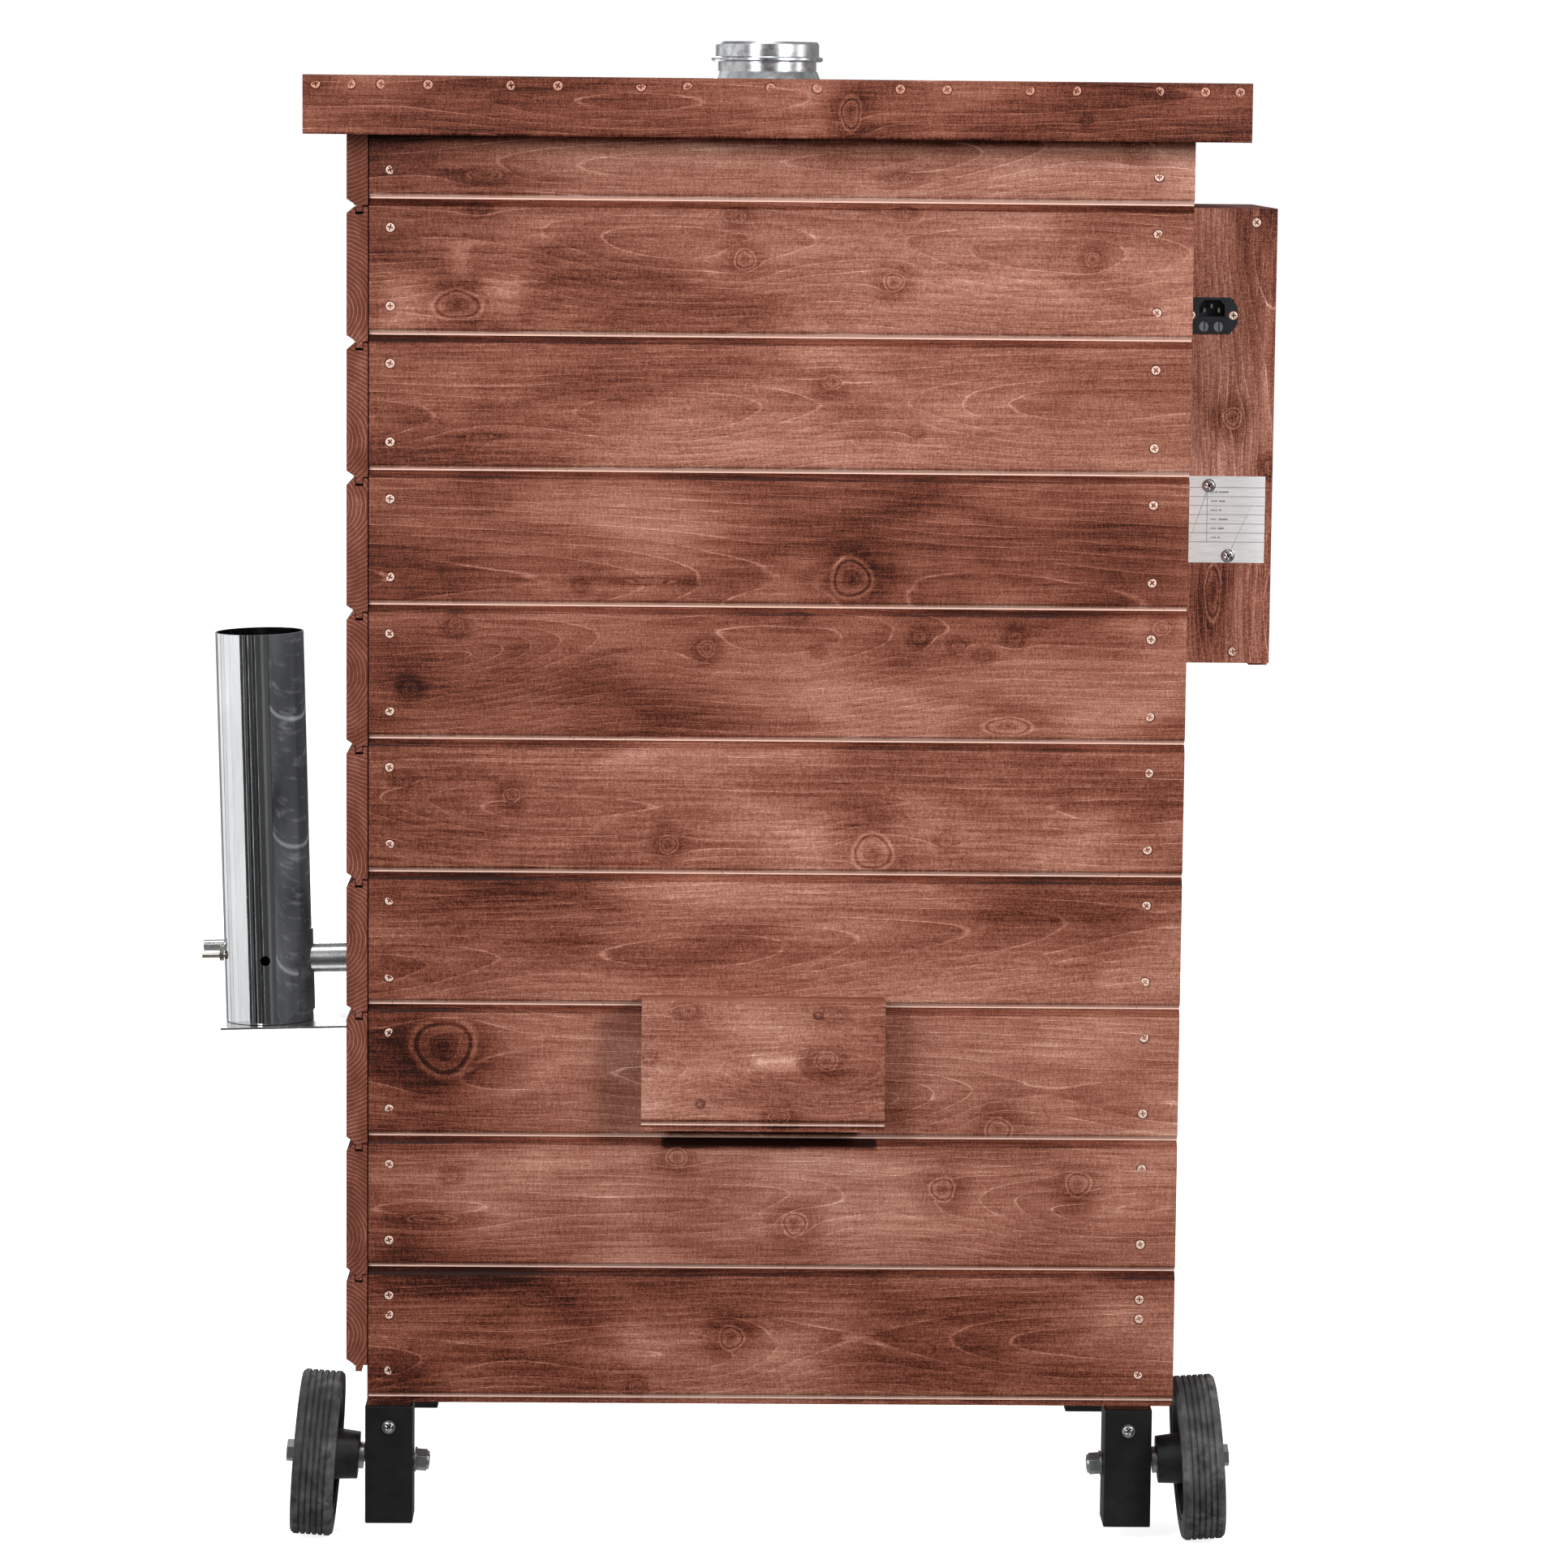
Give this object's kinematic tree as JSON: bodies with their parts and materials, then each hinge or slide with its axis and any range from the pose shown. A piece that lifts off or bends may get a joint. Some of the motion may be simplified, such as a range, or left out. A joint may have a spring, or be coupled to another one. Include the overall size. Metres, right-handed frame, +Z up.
{
  "type": "electric cabinet smoker",
  "caption": "Timber-clad cabinet smoker with a lined chamber, hinged front door, side control box, outside smoke generator, capped flue and two rear wheels.",
  "frame": {"origin": "on the floor, below the middle of the whole object's bounding box", "axes": "+Z up; the door faces -Y and the rear wall +Y; the smoke generator is on the +X side and the control box on the -X side"},
  "size_m": [1.0452, 0.76, 1.4504],
  "materials": {
    "timber": "stained spruce, satin",
    "raw_timber": "planed spruce",
    "black_steel": "black powder coat",
    "stainless": "polished stainless sheet",
    "zinc": "zinc plated",
    "brass": "nickel plated",
    "wool": "mineral wool",
    "rubber": "ribbed solid rubber",
    "seal_rubber": "silicone",
    "black_plastic": "moulded",
    "plate": "satin printed sheet",
    "gauge": "steel case, pale dial"
  },
  "bodies": {
    "cabinet": {"rear_wall_boards": "timber", "left_wall_boards": "timber", "right_wall_boards": "timber", "roof_boards": "timber", "roof_fascias": "timber", "front_frame": "timber", "control_box_rear_board": "timber", "control_box_cover": "timber", "control_box_front_panel": "timber", "control_box_ends": "timber", "vent_cover_board": "timber", "vent_cover_battens": "timber", "corner_posts": "raw_timber", "frame_rails": "raw_timber", "leg_sleeves": "black_steel", "hinge_plates_and_pins": "black_steel", "latch_keeper": "black_steel", "chamber_lining": "stainless", "rack_rails": "stainless", "smoking_racks": "stainless", "hanging_rods": "stainless", "drip_tray": "stainless", "generator_bracket": "stainless", "heater_terminal_plate": "stainless", "temperature_probe": "stainless", "heating_element": "stainless", "chimney_pipe": "zinc", "chimney_collar": "zinc", "axle_bolts": "zinc", "axle_nuts": "zinc", "axle_washers": "zinc", "wall_screws": "zinc", "fascia_screws": "zinc", "trim_screws": "zinc", "inlet_pins": "brass", "chamber_insulation": "wool", "power_inlet": "black_plastic", "temperature_controller": "black_plastic", "rating_plate": "plate"},
    "door": {"door_boards": "timber", "door_battens": "raw_timber", "door_inner_sheet": "stainless", "door_seal": "seal_rubber", "door_thermometer": "gauge", "hinge_straps": "black_steel"},
    "latch": {"latch_handle": "black_steel"},
    "flue_cap": {"chimney_cap": "zinc"},
    "generator": {"generator_tube": "stainless", "smoke_pipe": "stainless", "air_nozzle": "brass", "ignition_stub": "stainless", "ember_grate": "stainless"},
    "left_wheel": {"wheel_tyre_left": "rubber", "wheel_rim_left": "black_plastic"},
    "right_wheel": {"wheel_tyre_right": "rubber", "wheel_rim_right": "black_plastic"},
    "left_fuse": {"fuse_cap_left": "black_plastic"},
    "right_fuse": {"fuse_cap_right": "black_plastic"},
    "dial": {"thermostat_knob": "black_plastic"},
    "rocker": {"power_switch": "black_plastic"}
  },
  "joints": [
    {"name": "door_swing", "type": "hinge", "parent": "cabinet", "child": "door", "pos_m": [0.37093, -0.3335, 0.76], "axis": [0, 0, 1], "range_deg": [0, 110]},
    {"name": "latch_turn", "type": "hinge", "parent": "door", "child": "latch", "pos_m": [-0.36257, -0.34, 0.74], "axis": [0, -1, 0], "range_deg": [0, 90]},
    {"name": "flue_cap_lift", "type": "slide", "parent": "cabinet", "child": "flue_cap", "axis": [0, 0, 1], "range_m": [0, 0.04]},
    {"name": "generator_pull", "type": "slide", "parent": "cabinet", "child": "generator", "axis": [0.9997, 0, -0.0262], "range_m": [0, 0.07]},
    {"name": "left_wheel_roll", "type": "hinge", "parent": "cabinet", "child": "left_wheel", "pos_m": [0.39643, 0.289, 0.08125], "axis": [0.9976, 0, 0.0698], "continuous": true},
    {"name": "right_wheel_roll", "type": "hinge", "parent": "cabinet", "child": "right_wheel", "pos_m": [-0.46157, 0.289, 0.08125], "axis": [0.9976, 0, -0.0698], "continuous": true},
    {"name": "left_fuse_turn", "type": "hinge", "parent": "cabinet", "child": "left_fuse", "pos_m": [-0.45357, 0.223, 1.18], "axis": [0, 1, 0], "range_deg": [0, 90]},
    {"name": "right_fuse_turn", "type": "hinge", "parent": "cabinet", "child": "right_fuse", "pos_m": [-0.46757, 0.223, 1.18], "axis": [0, 1, 0], "range_deg": [0, 90]},
    {"name": "dial_turn", "type": "hinge", "parent": "cabinet", "child": "dial", "pos_m": [-0.47757, -0.027, 1.1835], "axis": [0, -1, 0], "range_deg": [0, 270]},
    {"name": "rocker_tip", "type": "hinge", "parent": "cabinet", "child": "rocker", "pos_m": [-0.47757, -0.025, 1.0835], "axis": [1, 0, 0], "range_deg": [-7, 7]}
  ]
}
